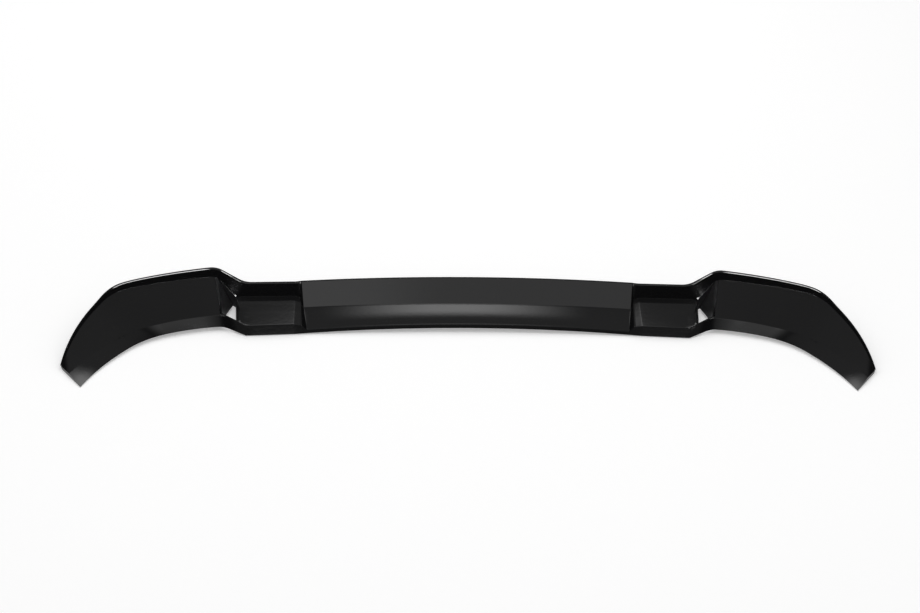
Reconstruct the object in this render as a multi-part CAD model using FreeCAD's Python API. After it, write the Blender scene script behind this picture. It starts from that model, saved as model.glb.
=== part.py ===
"""Car spoiler: a wrap-around lip spoiler for the rear edge of a boot lid or hatch.

The frame is in millimetres: +X to the right, +Y towards the back of the car, +Z up. The spoiler lies
on its bonding tape on the plane Z = 0, with the origin below the middle of its box. The leading edge
looks to -Y and the tips sweep forward round the corners of the lid.

Every cross-section stands on a station, a pair of plan points on the leading and the trailing edge.
Across it a section has a bevel, a broad ramp, a steep band under the trailing edge, a rounded nose
and an undercut back.
"""
import FreeCAD, Part
import math
import os
from collections import namedtuple

Vec = FreeCAD.Vector
Profile = namedtuple(
    "Profile",
    "bevel_run bevel_rise band_run band_rise height undercut"
    " bevel_radius crest_radius nose_radius",
)
Station = namedtuple("Station", "lead trail lift profile")

# Skin and fixing
wall = 3.0
land_thickness = 3.0
land_width = 16.0
tape_width = 10.0
tape_thickness = 1.0
tape_inset = 3.0
tape_clearance = 0.05
tape_end_gap = 12.0
rib_thickness = 2.2
rib_pitch = 82.0
least_face = 0.8

# Centre section, from the middle to the outer end of a block
center_half = 338.0
center_rake = 6.0
center_depth = 100.5
lead_sweep = 15.0
trail_sweep = 8.0
crown = 7.0

# Recess in the middle of the centre section
recess_half = 246.0
recess_rake = 11.0
recess_wall = 7.0
recess_chamfer = 13.0
chamfer_share = 0.22

# Step from a block to a wing, with the air slot in it
step_lead_run = 34.5
step_lead_back = 17.0
step_trail_run = 45.0
step_trail_back = 20.0
block_shoulder = 15.0
slot_foot_width = 0.6
slot_wing_radius = 4.0
slot_block_radius = 7.0
slot_blend = 0.06

# Wing edges in plan: heading below +X at the root, then arcs of (length, turn in degrees)
wing_lead_heading = 6.2
wing_lead_arcs = ((88.5, 17.4), (70.0, 28.3), (123.0, 17.3))
wing_trail_heading = 13.1
wing_trail_arcs = ((152.0, 11.5), (40.0, 35.8), (152.0, 23.1))
wing_lift = 6.0
wing_hollow_end = 0.86
wing_tape_end = 0.93

# Nose of the trailing edge
nose_width = 4.0
nose_drop = 1.5

# Section shapes
block = Profile(
    bevel_run=4.0, bevel_rise=15.0, band_run=15.5, band_rise=19.0, height=40.0, undercut=14.0,
    bevel_radius=2.5, crest_radius=3.2, nose_radius=1.2,
)
recess = Profile(
    bevel_run=2.0, bevel_rise=5.0, band_run=37.0, band_rise=28.5, height=40.0, undercut=14.0,
    bevel_radius=2.0, crest_radius=3.2, nose_radius=1.2,
)
wing_root = Profile(
    bevel_run=11.0, bevel_rise=14.5, band_run=11.0, band_rise=13.0, height=50.0, undercut=16.0,
    bevel_radius=2.5, crest_radius=3.2, nose_radius=1.2,
)
wing_tip = Profile(
    bevel_run=37.0, bevel_rise=4.5, band_run=6.0, band_rise=3.0, height=7.0, undercut=6.0,
    bevel_radius=2.5, crest_radius=1.6, nose_radius=1.0,
)
# how each size fades from root to tip, as a power of the share
wing_fade = Profile(
    bevel_run=1.6, bevel_rise=1.0, band_run=1.0, band_rise=1.0, height=3.0, undercut=1.0,
    bevel_radius=1.0, crest_radius=1.0, nose_radius=1.0,
)

# Places that follow
foot = tape_thickness + tape_clearance
wall_end = recess_half + recess_wall
chamfer_end = wall_end + recess_chamfer
reach_below = foot + wall
slot_low = -reach_below - wing_lift


def mix(first, second, share):
    """A profile between two others, with one share or a share for each size."""
    shares = share if isinstance(share, tuple) else (share,) * len(first)
    return Profile(*(a + (b - a) * s for a, b, s in zip(first, second, shares)))


def center_station(lead_x, trail_x, profile):
    """A station of the centre section, with the bow of its edges and the crown of its underside."""
    bow = 1 - (lead_x / center_half) ** 2
    lift = crown * max(0.0, 1 - (lead_x / chamfer_end) ** 2)
    lead = Vec(lead_x, lead_sweep * bow, 0)
    trail = Vec(trail_x, center_depth + trail_sweep * bow, 0)
    return Station(lead, trail, lift, profile)


def plan_point(start, heading, arcs, share):
    """The point at a share of a plan curve of tangent arcs, each arc having an equal share."""
    x, y = start
    turned = math.radians(heading)
    left = share * len(arcs)
    for length, turn in arcs:
        part = min(max(left, 0.0), 1.0)
        radius = length / math.radians(turn)
        ahead = turned + math.radians(turn) * part
        x += radius * (math.sin(ahead) - math.sin(turned))
        y += radius * (math.cos(ahead) - math.cos(turned))
        turned = ahead
        left -= 1.0
    return Vec(x, y, 0)


def wing_station(share):
    """A station of the right wing, from its root (0) to its tip (1)."""
    lead_root = (center_half + step_lead_run, step_lead_back)
    trail_root = (center_half + center_rake + step_trail_run, center_depth + step_trail_back)
    lead = plan_point(lead_root, wing_lead_heading, wing_lead_arcs, share)
    trail = plan_point(trail_root, wing_trail_heading, wing_trail_arcs, share)
    profile = mix(wing_root, wing_tip, tuple(share ** power for power in wing_fade))
    return Station(lead, trail, wing_lift * (1 - share ** 2), profile)


def depth_of(station):
    return station.lead.distanceToPoint(station.trail)


def ramp_line(station):
    """Start of the ramp and its slope, in the section's own plane."""
    shape = station.profile
    end_s = depth_of(station) - shape.band_run
    slope = (shape.height - shape.band_rise - shape.bevel_rise) / (end_s - shape.bevel_run)
    return shape.bevel_run, shape.bevel_rise, slope


def ramp_height(station, run):
    ramp_s, ramp_z, slope = ramp_line(station)
    return ramp_z + slope * (run - ramp_s)


def place(station, point, aside=0.0):
    """A section point (run from the leading edge, height) in space, moved aside from the section."""
    run, height = point
    along = (station.trail - station.lead).normalize()
    across = Vec(along.y, -along.x, 0)
    up = Vec(0, 0, foot + station.lift + height)
    return station.lead + along * run + across * aside + up


def outer_corners(station):
    shape = station.profile
    depth = depth_of(station)
    return [
        (0.0, 0.0),
        (shape.bevel_run, shape.bevel_rise),
        (depth - shape.band_run, shape.height - shape.band_rise),
        (depth - nose_width, shape.height),
        (depth, shape.height - nose_drop),
        (depth - shape.undercut, 0.0),
    ]


def rounded_wire(points, radii):
    """A closed wire through the points, with an arc at each corner that has a radius."""
    corners = []
    for i, corner in enumerate(points):
        if radii[i] == 0:
            corners.append((corner, None, corner))
            continue
        back = (points[i - 1] - corner).normalize()
        ahead = (points[(i + 1) % len(points)] - corner).normalize()
        half = back.getAngle(ahead) / 2
        reach = radii[i] / math.tan(half)
        inward = (back + ahead).normalize()
        middle = corner + inward * (radii[i] / math.sin(half) - radii[i])
        corners.append((corner + back * reach, middle, corner + ahead * reach))
    edges = []
    for i, (start, middle, end) in enumerate(corners):
        edges.append(Part.LineSegment(corners[i - 1][2], start).toShape())
        if middle is not None:
            edges.append(Part.Arc(start, middle, end).toShape())
    return Part.Wire(edges)


def outer_wire(station, shoulder=0.0):
    """The outer section, with the foot of its band moved outwards by a shoulder."""
    shape = station.profile
    radii = [0, shape.bevel_radius, 0, shape.crest_radius, shape.nose_radius, 0]
    corners = outer_corners(station)
    points = [place(station, c) for c in corners]
    points[2] = place(station, corners[2], shoulder)
    return rounded_wire(points, radii)


def outer_loft(stations, ruled=False):
    return Part.makeLoft([outer_wire(s) for s in stations], True, ruled)


def closed(points):
    return Part.makePolygon(points + points[:1])


def polygon(station, corners, aside=0.0):
    return closed([place(station, c, aside) for c in corners])


def hollow_corners(station):
    """The hollow behind the skin, with its mouth between the two bonding lands."""
    shape = station.profile
    depth = depth_of(station)
    bevel_slope = shape.bevel_rise / shape.bevel_run
    ramp_s, ramp_z, ramp_slope = ramp_line(station)
    band_slope = shape.band_rise / (shape.band_run - nose_width)
    back_slope = (shape.height - nose_drop) / shape.undercut
    back_s = depth - shape.undercut
    # each inner line is (run, height, slope), a wall's thickness inside the outer one
    bevel = (0.0, -wall * math.hypot(1, bevel_slope), bevel_slope)
    ramp = (ramp_s, ramp_z - wall * math.hypot(1, ramp_slope), ramp_slope)
    band_z = shape.height - shape.band_rise - wall * math.hypot(1, band_slope)
    band = (depth - shape.band_run, band_z, band_slope)
    back = (back_s - wall * math.hypot(1, 1 / back_slope), 0.0, back_slope)

    def at(line, run):
        return line[1] + line[2] * (run - line[0])

    def run_at(line, height):
        return line[0] + (height - line[1]) / line[2]

    def meet(one, two):
        run = (two[1] - two[2] * two[0] - one[1] + one[2] * one[0]) / (one[2] - two[2])
        return run, at(one, run)

    front = meet(bevel, ramp)
    if front[1] > land_thickness + least_face:
        heel = run_at(bevel, land_thickness)
    else:
        heel = run_at(ramp, land_thickness)
        front = (heel + least_face, at(ramp, heel + least_face))
    top = meet(ramp, back)
    under_band = meet(ramp, band)
    if under_band[0] < top[0] - least_face:
        top = meet(band, back)
    else:
        under_band = (top[0] - least_face, at(ramp, top[0] - least_face))
    mouth_front = max(land_width, heel + least_face)
    mouth_back = back_s - land_width
    return [
        (mouth_front, -reach_below),
        (mouth_front, land_thickness),
        (heel, land_thickness),
        front,
        under_band,
        top,
        (run_at(back, land_thickness), land_thickness),
        (mouth_back, land_thickness),
        (mouth_back, -reach_below),
    ]


def mirrored(shape):
    return shape.mirror(Vec(0, 0, 0), Vec(1, 0, 0))


def block_station(lead_x):
    rake = center_rake * (lead_x - chamfer_end) / (center_half - chamfer_end)
    return center_station(lead_x, lead_x + rake, block)


recess_end = center_station(recess_half, recess_half + recess_rake, recess)
chamfer_edge = center_station(wall_end, wall_end + recess_rake / 2, mix(block, recess, chamfer_share))
block_start = block_station(chamfer_end)
block_end = block_station(center_half)
root = wing_station(0.0)


def recess_stations(half, count):
    """Stations along the recess, fanned out so that its ends follow the raked end walls."""
    places = [half * (2 * i / (count - 1) - 1) for i in range(count)]
    return [center_station(x, x * (1 + recess_rake / recess_half), recess) for x in places]


def outer_form():
    """The spoiler as a filled form."""
    step = [outer_wire(block_start), outer_wire(block_end, block_shoulder), outer_wire(root)]
    side = [
        outer_loft([recess_end, chamfer_edge], True),
        outer_loft([chamfer_edge, block_start], True),
        Part.makeLoft(step, True, True),
    ]
    # one loft for each arc of the wing's edges
    arcs = len(wing_lead_arcs)
    side += [outer_loft([wing_station((k + i / 3) / arcs) for i in range(4)]) for k in range(arcs)]
    middle = outer_loft(recess_stations(recess_half, 5))
    return middle.multiFuse(side + [mirrored(s) for s in side])


def shifted(station, run):
    """The same section, moved along the centre section."""
    move = Vec(run, 0, 0)
    return Station(station.lead + move, station.trail + move, station.lift, station.profile)


def center_hollow():
    """The hollow of the centre section, up to a wall inside the air slots."""
    end_run = block_shoulder - wall
    end_lead = block_end.lead + (root.lead - block_end.lead) * (end_run / step_lead_run)
    end = Station(end_lead, block_end.trail + Vec(end_run, 0, 0), block_end.lift, block)
    right = [shifted(s, wall) for s in (recess_end, chamfer_edge, block_start)] + [block_end, end]
    wires = [polygon(s, hollow_corners(s)) for s in right]
    left = [mirrored(w) for w in reversed(wires)]
    middle = [polygon(s, hollow_corners(s)) for s in recess_stations(recess_half, 7)[1:-1]]
    return Part.makeLoft(left + middle + wires, True, True)


def wing_hollow():
    wires = [polygon(root, hollow_corners(root), wall)]
    shares = [wing_hollow_end * i / 7 for i in range(1, 8)]
    wires += [polygon(s, hollow_corners(s)) for s in map(wing_station, shares)]
    return Part.makeLoft(wires, True, True)


class SlotSection:
    """A section across the air slot, from the block's side to the wing's side.

    The wing's side is upright at the front of the slot. Towards the back its foot draws in to the block,
    so that it becomes a sloping face below the edge of the wing's ramp.
    """

    def __init__(self, share):
        near_start = block.bevel_run + wall
        near_run = near_start + (depth_of(block_end) - block.band_run - near_start) * share
        far_start = wing_root.bevel_run + wall
        far_run = far_start + (depth_of(root) - wing_root.band_run - far_start) * share
        self.near = place(block_end, (near_run, 0.0), block_shoulder)
        self.far = place(root, (far_run, 0.0))
        self.edge = ramp_height(root, far_run)
        self.across = Vec(self.far.x - self.near.x, self.far.y - self.near.y, 0)
        width = self.across.Length
        self.across.normalize()
        self.lean = max(0.0, (width - slot_foot_width) * share / (self.edge - slot_low))
        # the block's ramp climbs towards the wing, less and less towards the back
        climb = (self.edge + wing_lift - ramp_height(block_end, near_run)) / (width + block_shoulder)
        self.climb = climb * (1 - share)
        self.near_edge = ramp_height(block_end, near_run) + self.climb * block_shoulder

    def near_at(self, height, inside=0.0):
        """A point on the block's side, or inside the block by a level distance."""
        return self.near - self.across * inside + Vec(0, 0, height)

    def far_at(self, height, inside=0.0):
        """A point on the wing's side, or inside the wing by a distance square to that side."""
        aside = self.lean * (height - self.edge) + inside * math.hypot(1, self.lean)
        return self.far + self.across * aside + Vec(0, 0, height)

    def beyond(self, height, inside):
        return self.far + self.across * inside + Vec(0, 0, height)


def slot_window(section):
    """The window's section, with the edges of both ramps rounded down into the slot."""
    far_top = section.edge + slot_blend
    near_top = section.near_edge + slot_blend
    far_reach, near_reach = 2 * slot_wing_radius, 2 * slot_block_radius
    clear = block.height
    points = [
        section.near_at(slot_low),
        section.far_at(slot_low),
        section.far_at(far_top),
        section.beyond(far_top, far_reach),
        section.beyond(clear, far_reach),
        section.near_at(clear + wing_lift, near_reach),
        section.near_at(near_top - section.climb * near_reach, near_reach),
        section.near_at(near_top),
    ]
    return rounded_wire(points, [0, 0, slot_wing_radius, 0, 0, 0, 0, slot_block_radius])


def air_slot():
    """The slot behind the foot strip, open to the lid and closed below the bridge of the trailing edge."""
    return Part.makeLoft([slot_window(SlotSection(0.0)), slot_window(SlotSection(1.0))], True, True)


def slot_pocket():
    """The hollow behind the slot's sloping side, open to the wing's own hollow."""
    wires = []
    reach = depth_of(root) - wing_root.undercut - land_width
    start = wing_root.bevel_run + wall
    span = depth_of(root) - wing_root.band_run - start
    for run in (land_width + wall, reach):
        section = SlotSection((run - start) / span)
        high = section.edge - 2 * wall
        into = 2 * wall
        wires.append(closed([
            section.far_at(slot_low, wall),
            section.beyond(slot_low, into),
            section.beyond(high, into),
            section.far_at(high, wall),
        ]))
    return Part.makeLoft(wires, True, True)


def rib(station):
    """A plate across the hollow, standing clear of the lid by the thickness of the lands."""
    depth = depth_of(station)
    low = foot + station.lift + land_thickness
    along = (station.trail - station.lead).normalize()
    across = Vec(along.y, -along.x, 0)
    corner = station.lead - across * (rib_thickness / 2) + Vec(0, 0, low)
    corners = [corner, corner + along * depth]
    corners += [corners[1] + across * rib_thickness, corner + across * rib_thickness]
    face = Part.Face(Part.makePolygon(corners + corners[:1]))
    return face.extrude(Vec(0, 0, station.profile.height))


def ribs():
    count = int(center_half / rib_pitch)
    middle = [rib_pitch * i for i in range(-count, count + 1)]
    plates = [rib(center_station(x, x, block)) for x in middle]
    length = sum(arc[0] for arc in wing_lead_arcs)
    for i in range(1, int(length * wing_hollow_end / rib_pitch) + 1):
        plate = rib(wing_station(rib_pitch * i / length))
        plates += [plate, mirrored(plate)]
    return plates


def make_shell():
    """The moulding: a skin with bonding lands, ribs and two air slots."""
    wing = wing_hollow()
    center = center_hollow()
    hollow = Part.makeCompound([center, wing, mirrored(wing)]).cut(ribs())
    cutters = [slot_pocket(), air_slot()]
    return outer_form().cut(hollow.Solids + cutters + [mirrored(c) for c in cutters])


def tape_runs(station, at_back):
    """Where a strip of tape starts and ends across a section."""
    start = tape_inset
    if at_back:
        start = depth_of(station) - station.profile.undercut - tape_inset - tape_width
    return start, start + tape_width


def tape_strip(stations, at_back, ruled=True):
    """A strip of bonding tape under a land, along the given stations."""
    wires = []
    for station in stations:
        start, end = tape_runs(station, at_back)
        low, high = -foot, -tape_clearance
        wires.append(polygon(station, [(start, low), (end, low), (end, high), (start, high)]))
    return Part.makeLoft(wires, True, ruled)


def block_pad(at_back):
    """The flat stretch of tape under a block, which the spoiler stands on."""
    last = block_station(center_half - tape_end_gap)
    start, end = tape_runs(block_start, at_back)
    plan = [place(block_start, (start, -foot)), place(block_start, (end, -foot))]
    start, end = tape_runs(last, at_back)
    plan += [place(last, (end, -foot)), place(last, (start, -foot))]
    return Part.Face(closed(plan)).extrude(Vec(0, 0, tape_thickness))


def center_tape(at_back):
    pad = block_pad(at_back)
    rise = tape_strip([recess_end, chamfer_edge, block_start], at_back)
    middle = tape_strip(recess_stations(recess_half, 13), at_back)
    return middle.multiFuse([rise, pad, mirrored(rise), mirrored(pad)])


def wing_tape(at_back):
    """A strip under a wing's land, one loft for each arc of the wing's edges."""
    arcs = len(wing_lead_arcs)
    first = tape_end_gap / sum(arc[0] for arc in wing_lead_arcs)
    pieces = []
    for k in range(arcs):
        low, high = max(first, k / arcs), min(wing_tape_end, (k + 1) / arcs)
        stations = [wing_station(low + (high - low) * i / 3) for i in range(4)]
        pieces.append(tape_strip(stations, at_back, False))
    return pieces[0].multiFuse(pieces[1:])


def main():
    nodes = {"spoiler_shell": make_shell()}
    for name, at_back in (("front_tape", False), ("rear_tape", True)):
        nodes[name + "_center"] = center_tape(at_back)
        nodes[name + "_right"] = wing_tape(at_back)
        nodes[name + "_left"] = mirrored(nodes[name + "_right"])
    # the origin lies below the middle of the whole box
    box = Part.makeCompound(list(nodes.values())).optimalBoundingBox()
    move = Vec(-box.Center.x, -box.Center.y, -box.ZMin)
    os.makedirs("parts", exist_ok=True)
    for name, shape in nodes.items():
        solid = shape.removeSplitter().Solids[0]
        solid.translate(move)
        solid.exportStep("parts/" + name + ".step")


main()
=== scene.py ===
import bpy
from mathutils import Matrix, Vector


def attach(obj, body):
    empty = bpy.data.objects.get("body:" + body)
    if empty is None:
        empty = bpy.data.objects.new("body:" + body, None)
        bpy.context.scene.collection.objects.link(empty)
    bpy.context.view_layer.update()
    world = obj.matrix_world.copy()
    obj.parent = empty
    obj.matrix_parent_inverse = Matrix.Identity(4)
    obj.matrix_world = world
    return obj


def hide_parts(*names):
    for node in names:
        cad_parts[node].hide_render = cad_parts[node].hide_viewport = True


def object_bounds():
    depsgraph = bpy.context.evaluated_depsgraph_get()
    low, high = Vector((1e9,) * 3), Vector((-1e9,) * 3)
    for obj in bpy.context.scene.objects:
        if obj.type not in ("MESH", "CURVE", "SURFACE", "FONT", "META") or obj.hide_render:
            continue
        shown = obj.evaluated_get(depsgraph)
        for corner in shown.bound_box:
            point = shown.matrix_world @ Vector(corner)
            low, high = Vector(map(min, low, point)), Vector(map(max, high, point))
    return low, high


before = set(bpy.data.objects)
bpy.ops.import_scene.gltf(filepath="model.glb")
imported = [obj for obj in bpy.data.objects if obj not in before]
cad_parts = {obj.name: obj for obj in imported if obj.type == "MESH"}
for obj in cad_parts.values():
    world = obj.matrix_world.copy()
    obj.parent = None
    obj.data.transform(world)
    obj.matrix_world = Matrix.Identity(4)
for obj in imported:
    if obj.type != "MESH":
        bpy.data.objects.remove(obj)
CAD_BOX = [list(corner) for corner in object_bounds()]

import math
from collections import namedtuple

import bmesh
import bpy
from mathutils import Matrix, Vector
from mathutils.bvhtree import BVHTree

bl_info = {
    "name": "Car spoiler looks",
    "version": (1, 0, 0),
    "blender": (4, 5, 0),
    "location": "3D View > Sidebar > Spoiler",
    "description": "Gloss skin, bonding tape and a plain studio for a car spoiler",
    "category": "Object",
}

# Sizes of the moulding in millimetres
WALL = 3.0
FOOT = 1.05
CENTER_HALF, CENTER_RAKE, CENTER_DEPTH = 338.0, 6.0, 100.5
LEAD_SWEEP, TRAIL_SWEEP, CROWN = 15.0, 8.0, 7.0
RECESS_HALF, RECESS_RAKE, RECESS_WALL, RECESS_CHAMFER, CHAMFER_SHARE = 246.0, 11.0, 7.0, 13.0, 0.22
STEP_LEAD_RUN, STEP_LEAD_BACK, STEP_TRAIL_RUN, STEP_TRAIL_BACK = 34.5, 17.0, 45.0, 20.0
BLOCK_SHOULDER, SLOT_WING_RADIUS, SLOT_BLOCK_RADIUS = 15.0, 4.0, 7.0
WING_LEAD_HEADING, WING_LEAD_ARCS = 6.2, ((88.5, 17.4), (70.0, 28.3), (123.0, 17.3))
WING_TRAIL_HEADING, WING_TRAIL_ARCS = 13.1, ((152.0, 11.5), (40.0, 35.8), (152.0, 23.1))
WING_LIFT, WING_TAPE_END = 6.0, 0.93
NOSE_WIDTH, NOSE_DROP = 4.0, 1.5
TAPE_WIDTH, TAPE_THICKNESS, TAPE_INSET, TAPE_END_GAP = 10.0, 1.0, 3.0, 12.0
WALL_END = RECESS_HALF + RECESS_WALL
CHAMFER_END = WALL_END + RECESS_CHAMFER
WING_LENGTH = sum(arc[0] for arc in WING_LEAD_ARCS)
MM = 0.001

# Details of the skin's mesh: counts of points or rows, shares, and lengths in millimetres
BEVEL_STEPS, BAND_STEPS, FLAT_STEPS, BACK_STEPS = 2, 4, 1, 4
SUPPORT_SHARE, FLAT_SUPPORT, TRIM_SHARE, EASE_WINDOW = 0.25, 0.1, 0.45, 3.5
WALL_CREASE_STEPS, WALL_STEPS, CHAMFER_STEPS, BLOCK_CREASE_STEPS = 4, 2, 3, 6
KINK_STEPS, BLOCK_STEPS, STEP_STEPS, PATCH_STEPS, ROOT_STEPS = 8, 8, 4, 12, 3
ROOT_AHEAD, RAMP_BEND, SLOT_OVERLAP, SLOT_LEAN = 0.06, 0.05, 0.4, 0.45

# Which faces of the solid the skin hides: how near they lie, in metres, and how alike they face. The steps
# and wings are soft, because their kinks are rounded more than the solid's
Cover = namedtuple("Cover", "soft reach likeness")
COVERS = (Cover(False, 0.0012, 0.75), Cover(True, 0.004, 0.4))
BESIDE, MERGE, TINY, CUT_ROUNDS, SHARP_DEGREES = 0.0005, 2e-6, 1e-6, 8, 34.0

# Which of the solid's faces are painted: where they lie, in metres, and which way they face, by their normals
STEP_FROM, STEP_TO, SLOT_FROM, SLOT_TO, TIP_FROM, BACK_FROM = 0.318, 0.392, 0.345, 0.380, 0.565, 0.09
UPRIGHT, SIDEWAYS, BACKWARD, UNDERNEATH = 0.3, 0.6, 0.5, -0.6

# Sockets of a mix node, for numbers and for colours
FACTOR, FLOAT_A, FLOAT_B, FLOAT_OUT = 0, 2, 3, 0
COLOR_A, COLOR_B, COLOR_OUT = 6, 7, 2
BUMP_DEPTH = 0.0002

# Floor in metres, with the share of its own light that the camera and reflections see
FLOOR_HALF, FLOOR_GAP, FLOOR_TONE, FLOOR_ROUGHNESS, FLOOR_GLOW = 9.0, 0.0002, 0.93, 0.9, 0.3

# Camera: its target in the plan's frame in millimetres, its sensor, and the picture's shift in pixels
TARGET, SENSOR_WIDTH, VIEW_END = (0.0, 20.0, 15.0), 36.0, 100.0
PICTURE_WIDTH_PX, SHIFT_X_PX, SHIFT_Y_PX = 920.0, -8.18, 16.0

Profile = namedtuple(
    "Profile",
    "bevel_run bevel_rise band_run band_rise height undercut"
    " bevel_radius band_radius crest_radius nose_radius hollow",
)
Station = namedtuple("Station", "lead trail lift profile")
BLOCK = Profile(4.0, 15.0, 15.5, 19.0, 40.0, 14.0, 0.9, 0.3, 3.2, 1.2, 0.0)
RECESS = Profile(2.0, 5.0, 37.0, 28.5, 40.0, 14.0, 0.9, 0.8, 3.2, 1.2, -0.45)
WING_ROOT = Profile(11.0, 14.5, 11.0, 13.0, 50.0, 16.0, 0.9, 0.3, 3.2, 1.2, 0.0)
WING_TIP = Profile(37.0, 4.5, 6.0, 3.0, 7.0, 6.0, 0.9, 0.3, 1.6, 1.0, 0.0)
WING_FADE = Profile(1.6, 1.0, 1.0, 1.0, 3.0, 1.0, 1.0, 1.0, 1.0, 1.0, 1.0)


# Stations and sections

def mix_profiles(first, second, shares):
    return Profile(*(a + (b - a) * s for a, b, s in zip(first, second, shares)))


def center_station(lead_x, trail_x, profile):
    bow = 1 - (lead_x / CENTER_HALF) ** 2
    lift = CROWN * max(0.0, 1 - (lead_x / CHAMFER_END) ** 2)
    lead = Vector((lead_x, LEAD_SWEEP * bow, 0))
    trail = Vector((trail_x, CENTER_DEPTH + TRAIL_SWEEP * bow, 0))
    return Station(lead, trail, lift, profile)


def recess_station(x):
    return center_station(x, x * (1 + RECESS_RAKE / RECESS_HALF), RECESS)


def block_station(lead_x):
    rake = CENTER_RAKE * (lead_x - CHAMFER_END) / (CENTER_HALF - CHAMFER_END)
    return center_station(lead_x, lead_x + rake, BLOCK)


def plan_point(start, heading, arcs, share):
    x, y = start
    turned = math.radians(heading)
    left = share * len(arcs)
    for length, turn in arcs:
        part = min(max(left, 0.0), 1.0)
        radius = length / math.radians(turn)
        ahead = turned + math.radians(turn) * part
        x += radius * (math.sin(ahead) - math.sin(turned))
        y += radius * (math.cos(ahead) - math.cos(turned))
        turned = ahead
        left -= 1.0
    return Vector((x, y, 0))


def wing_station(share):
    lead_root = (CENTER_HALF + STEP_LEAD_RUN, STEP_LEAD_BACK)
    trail_root = (CENTER_HALF + CENTER_RAKE + STEP_TRAIL_RUN, CENTER_DEPTH + STEP_TRAIL_BACK)
    lead = plan_point(lead_root, WING_LEAD_HEADING, WING_LEAD_ARCS, share)
    trail = plan_point(trail_root, WING_TRAIL_HEADING, WING_TRAIL_ARCS, share)
    profile = mix_profiles(WING_ROOT, WING_TIP, [share ** power for power in WING_FADE])
    return Station(lead, trail, WING_LIFT * (1 - share ** 2), profile)


def place(station, run, height, aside=0.0):
    along = (station.trail - station.lead).normalized()
    across = Vector((along.y, -along.x, 0))
    return station.lead + along * run + across * aside + Vector((0, 0, FOOT + station.lift + height))


def spread(start, end, count, support):
    """Points from start to end, with one near each end so that shading stays flat between them."""
    near = min(support / max((end - start).length, TINY), SUPPORT_SHARE)
    between = [near + (1 - 2 * near) * i / (count + 1) for i in range(1, count + 1)]
    return [start.lerp(end, s) for s in [0.0, near] + between + [1 - near, 1.0]]


def bowed(points, hollow):
    """The points of a straight stretch, let down towards its middle."""
    start, length = points[0], (points[-1] - points[0]).length
    shares = [(point - start).length / length for point in points]
    return [point - Vector((0, 0, 4 * hollow * s * (1 - s))) for point, s in zip(points, shares)]


def corner_arc(before, corner, after, radius, count):
    """Points of the arc that rounds a corner, from the side of one neighbour to the other."""
    back, ahead = (before - corner).normalized(), (after - corner).normalized()
    half = back.angle(ahead) / 2
    start = corner + back * (radius / math.tan(half))
    end = corner + ahead * (radius / math.tan(half))
    middle = corner + (back + ahead).normalized() * (radius / math.sin(half))
    one, two = start - middle, end - middle
    turn = one.angle(two)
    points = []
    for i in range(count + 1):
        angle = turn * i / count
        points.append(middle + (one * math.sin(turn - angle) + two * math.sin(angle)) / math.sin(turn))
    return points


# Where the strip beside the bevel ends, the fold's middle and the nose's end, counted along a section
Columns = namedtuple("Columns", "strip fold nose")


def section_points(station, settings, shoulder=0.0):
    """Points of the outer skin across one section, from under the front foot to under the back one, and
    their columns."""
    shape = station.profile
    depth = (station.trail - station.lead).length
    foot, heel = place(station, 0, 0), place(station, depth - shape.undercut, 0)
    bevel = place(station, shape.bevel_run, shape.bevel_rise)
    fold = place(station, depth - shape.band_run, shape.height - shape.band_rise, shoulder)
    top = place(station, depth - NOSE_WIDTH, shape.height)
    nose = place(station, depth, shape.height - NOSE_DROP)
    arcs = settings.arc_steps
    bevel_arc = corner_arc(foot, bevel, fold, shape.bevel_radius, arcs)
    fold_arc = corner_arc(bevel, fold, top, shape.band_radius, 2 * arcs)
    top_arc = corner_arc(fold, top, nose, shape.crest_radius, 2 * arcs)
    nose_arc = corner_arc(top, nose, heel, shape.nose_radius, arcs)
    strip_end = bevel.lerp(fold, WALL / (fold - bevel).length)
    near = settings.support
    points = [place(station, settings.lip, 0)]
    points += spread(foot, bevel_arc[0], BEVEL_STEPS, near)
    points += bevel_arc[1:]
    points += [bevel_arc[-1].lerp(strip_end, 0.5), strip_end]
    strip_at = len(points) - 1
    points += bowed(spread(strip_end, fold_arc[0], settings.ramp_steps, near), shape.hollow)[1:]
    fold_at = len(points) - 1 + arcs
    points += fold_arc[1:]
    points += bowed(spread(fold_arc[-1], top_arc[0], BAND_STEPS, near), -shape.hollow / 2)[1:]
    # a narrow flat lies across the foot of the crest's round
    half = arcs // 2
    points += spread(top_arc[0], top_arc[half], FLAT_STEPS, FLAT_SUPPORT)[1:] + top_arc[half + 1:]
    points += [top_arc[-1].lerp(nose_arc[0], 0.5)] + nose_arc
    nose_at = len(points) - 1
    points += spread(nose_arc[-1], heel, BACK_STEPS, near)[1:]
    points.append(place(station, depth - shape.undercut - settings.lip, 0))
    return points, Columns(strip_at, fold_at, nose_at)


# Skin grids

def rows_between(first, second, count):
    return [[a.lerp(b, i / (count + 1)) for a, b in zip(first, second)] for i in range(1, count + 1)]


def rounded_rows(before, corner, after, trims, count):
    """Rows that round a crease between two ruled faces, each column by its own trim."""
    rows = [[] for _ in range(count + 1)]
    for p, c, q, trim in zip(before, corner, after, trims):
        one, two = p - c, q - c
        start = c + one.normalized() * min(trim, TRIM_SHARE * one.length)
        end = c + two.normalized() * min(trim, TRIM_SHARE * two.length)
        for i, row in enumerate(rows):
            s = i / count
            row.append(start * (1 - s) ** 2 + c * (2 * s * (1 - s)) + end * s ** 2)
    return rows


def walked(points, length):
    """The point at a length along a polyline."""
    for a, b in zip(points, points[1:]):
        step = (b - a).length
        if length <= step:
            return a.lerp(b, length / step)
        length -= step
    return points[-1].copy()


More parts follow.
